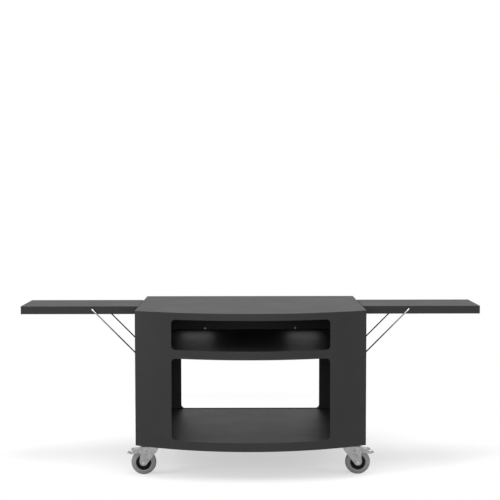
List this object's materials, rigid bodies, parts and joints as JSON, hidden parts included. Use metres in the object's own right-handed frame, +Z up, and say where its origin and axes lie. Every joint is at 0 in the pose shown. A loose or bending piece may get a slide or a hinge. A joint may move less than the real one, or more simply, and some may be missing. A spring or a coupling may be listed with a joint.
{
  "type": "outdoor oven table",
  "caption": "Bow-fronted sheet-steel table on swivel casters, with an open compartment, a through log store and folding side shelves on rod stays.",
  "frame": {"origin": "on the floor, under the middle of the whole table's bounding box", "axes": "+X to the right seen from the front, +Y to the back, +Z up; the front bows towards -Y"},
  "size_m": [2.35, 0.885, 0.83],
  "materials": {
    "black_coat": "black powder coat, fine satin texture",
    "zinc": "zinc-plated pressed steel",
    "fastener_steel": "zinc-plated fasteners",
    "rod_steel": "plated drawn rod",
    "tyre_rubber": "grey non-marking rubber",
    "rim_plastic": "black moulded plastic"
  },
  "bodies": {
    "base": {"back_wall_screws": "fastener_steel", "caster_bolts": "fastener_steel", "caster_nuts": "fastener_steel", "compartment_floor": "black_coat", "compartment_stiffeners": "black_coat", "front_left_caster_plate": "zinc", "front_panel": "black_coat", "front_right_caster_plate": "zinc", "king_pins": "fastener_steel", "left_caster_rail": "black_coat", "left_hinge_pins": "rod_steel", "left_hinge_wall_leaves": "black_coat", "left_side_panel": "black_coat", "lower_shelf": "black_coat", "lower_shelf_stiffeners": "black_coat", "rear_left_caster_plate": "zinc", "rear_panel": "black_coat", "rear_panel_screws": "fastener_steel", "rear_right_caster_plate": "zinc", "right_caster_rail": "black_coat", "right_hinge_pins": "rod_steel", "right_hinge_wall_leaves": "black_coat", "right_side_panel": "black_coat", "stay_hooks": "black_coat", "table_top": "black_coat", "top_beam_front": "black_coat", "top_beam_middle": "black_coat", "top_beam_rear": "black_coat"},
    "front_left_fork": {"front_left_fork": "zinc", "front_left_axle_bolt": "fastener_steel", "front_left_pedal_pin": "fastener_steel"},
    "front_left_wheel": {"front_left_rim": "rim_plastic", "front_left_tyre": "tyre_rubber"},
    "front_left_pedal": {"front_left_brake_pedal": "zinc"},
    "front_right_fork": {"front_right_fork": "zinc", "front_right_axle_bolt": "fastener_steel", "front_right_pedal_pin": "fastener_steel"},
    "front_right_wheel": {"front_right_rim": "rim_plastic", "front_right_tyre": "tyre_rubber"},
    "front_right_pedal": {"front_right_brake_pedal": "zinc"},
    "rear_left_fork": {"rear_left_fork": "zinc", "rear_left_axle_bolt": "fastener_steel"},
    "rear_left_wheel": {"rear_left_rim": "rim_plastic", "rear_left_tyre": "tyre_rubber"},
    "rear_right_fork": {"rear_right_fork": "zinc", "rear_right_axle_bolt": "fastener_steel"},
    "rear_right_wheel": {"rear_right_rim": "rim_plastic", "rear_right_tyre": "tyre_rubber"},
    "left_shelf": {"left_shelf": "black_coat", "left_shelf_rib": "black_coat", "left_hinge_shelf_leaves": "black_coat"},
    "left_stay": {"left_stay": "rod_steel", "left_stay_washers": "rod_steel"},
    "right_shelf": {"right_shelf": "black_coat", "right_shelf_rib": "black_coat", "right_hinge_shelf_leaves": "black_coat"},
    "right_stay": {"right_stay": "rod_steel", "right_stay_washers": "rod_steel"}
  },
  "joints": [
    {"name": "front_left_swivel", "type": "hinge", "parent": "base", "child": "front_left_fork", "pos_m": [-0.503, -0.2385, 0.15], "axis": [0, 0, 1], "continuous": true},
    {"name": "front_left_roll", "type": "hinge", "parent": "front_left_fork", "child": "front_left_wheel", "pos_m": [-0.536, -0.2385, 0.0625], "axis": [0, 1, 0], "continuous": true},
    {"name": "front_left_brake", "type": "hinge", "parent": "front_left_fork", "child": "front_left_pedal", "pos_m": [-0.533, -0.2385, 0.1305], "axis": [0, -1, 0], "range_deg": [0, 10]},
    {"name": "front_right_swivel", "type": "hinge", "parent": "base", "child": "front_right_fork", "pos_m": [0.503, -0.2385, 0.15], "axis": [0, 0, 1], "continuous": true},
    {"name": "front_right_roll", "type": "hinge", "parent": "front_right_fork", "child": "front_right_wheel", "pos_m": [0.536, -0.2385, 0.0625], "axis": [0, 1, 0], "continuous": true},
    {"name": "front_right_brake", "type": "hinge", "parent": "front_right_fork", "child": "front_right_pedal", "pos_m": [0.533, -0.2385, 0.1305], "axis": [0, 1, 0], "range_deg": [0, 10]},
    {"name": "rear_left_swivel", "type": "hinge", "parent": "base", "child": "rear_left_fork", "pos_m": [-0.503, 0.3835, 0.15], "axis": [0, 0, 1], "continuous": true},
    {"name": "rear_left_roll", "type": "hinge", "parent": "rear_left_fork", "child": "rear_left_wheel", "pos_m": [-0.536, 0.3835, 0.0625], "axis": [0, 1, 0], "continuous": true},
    {"name": "rear_right_swivel", "type": "hinge", "parent": "base", "child": "rear_right_fork", "pos_m": [0.503, 0.3835, 0.15], "axis": [0, 0, 1], "continuous": true},
    {"name": "rear_right_roll", "type": "hinge", "parent": "rear_right_fork", "child": "rear_right_wheel", "pos_m": [0.536, 0.3835, 0.0625], "axis": [0, 1, 0], "continuous": true},
    {"name": "left_shelf_fold", "type": "hinge", "parent": "base", "child": "left_shelf", "pos_m": [-0.579, 0.0725, 0.784], "axis": [0, -1, 0], "range_deg": [0, 90]},
    {"name": "left_stay_swing", "type": "hinge", "parent": "left_shelf", "child": "left_stay", "pos_m": [-0.81, 0.0725, 0.816], "axis": [0, -1, 0], "range_deg": [-131, 0]},
    {"name": "right_shelf_fold", "type": "hinge", "parent": "base", "child": "right_shelf", "pos_m": [0.579, 0.0725, 0.784], "axis": [0, 1, 0], "range_deg": [0, 90]},
    {"name": "right_stay_swing", "type": "hinge", "parent": "right_shelf", "child": "right_stay", "pos_m": [0.81, 0.0725, 0.816], "axis": [0, 1, 0], "range_deg": [-131, 0]}
  ],
  "couplings": [
    {"joint": "left_stay_swing", "follows": "left_shelf_fold", "ratio": -1.437},
    {"joint": "right_stay_swing", "follows": "right_shelf_fold", "ratio": -1.437}
  ]
}
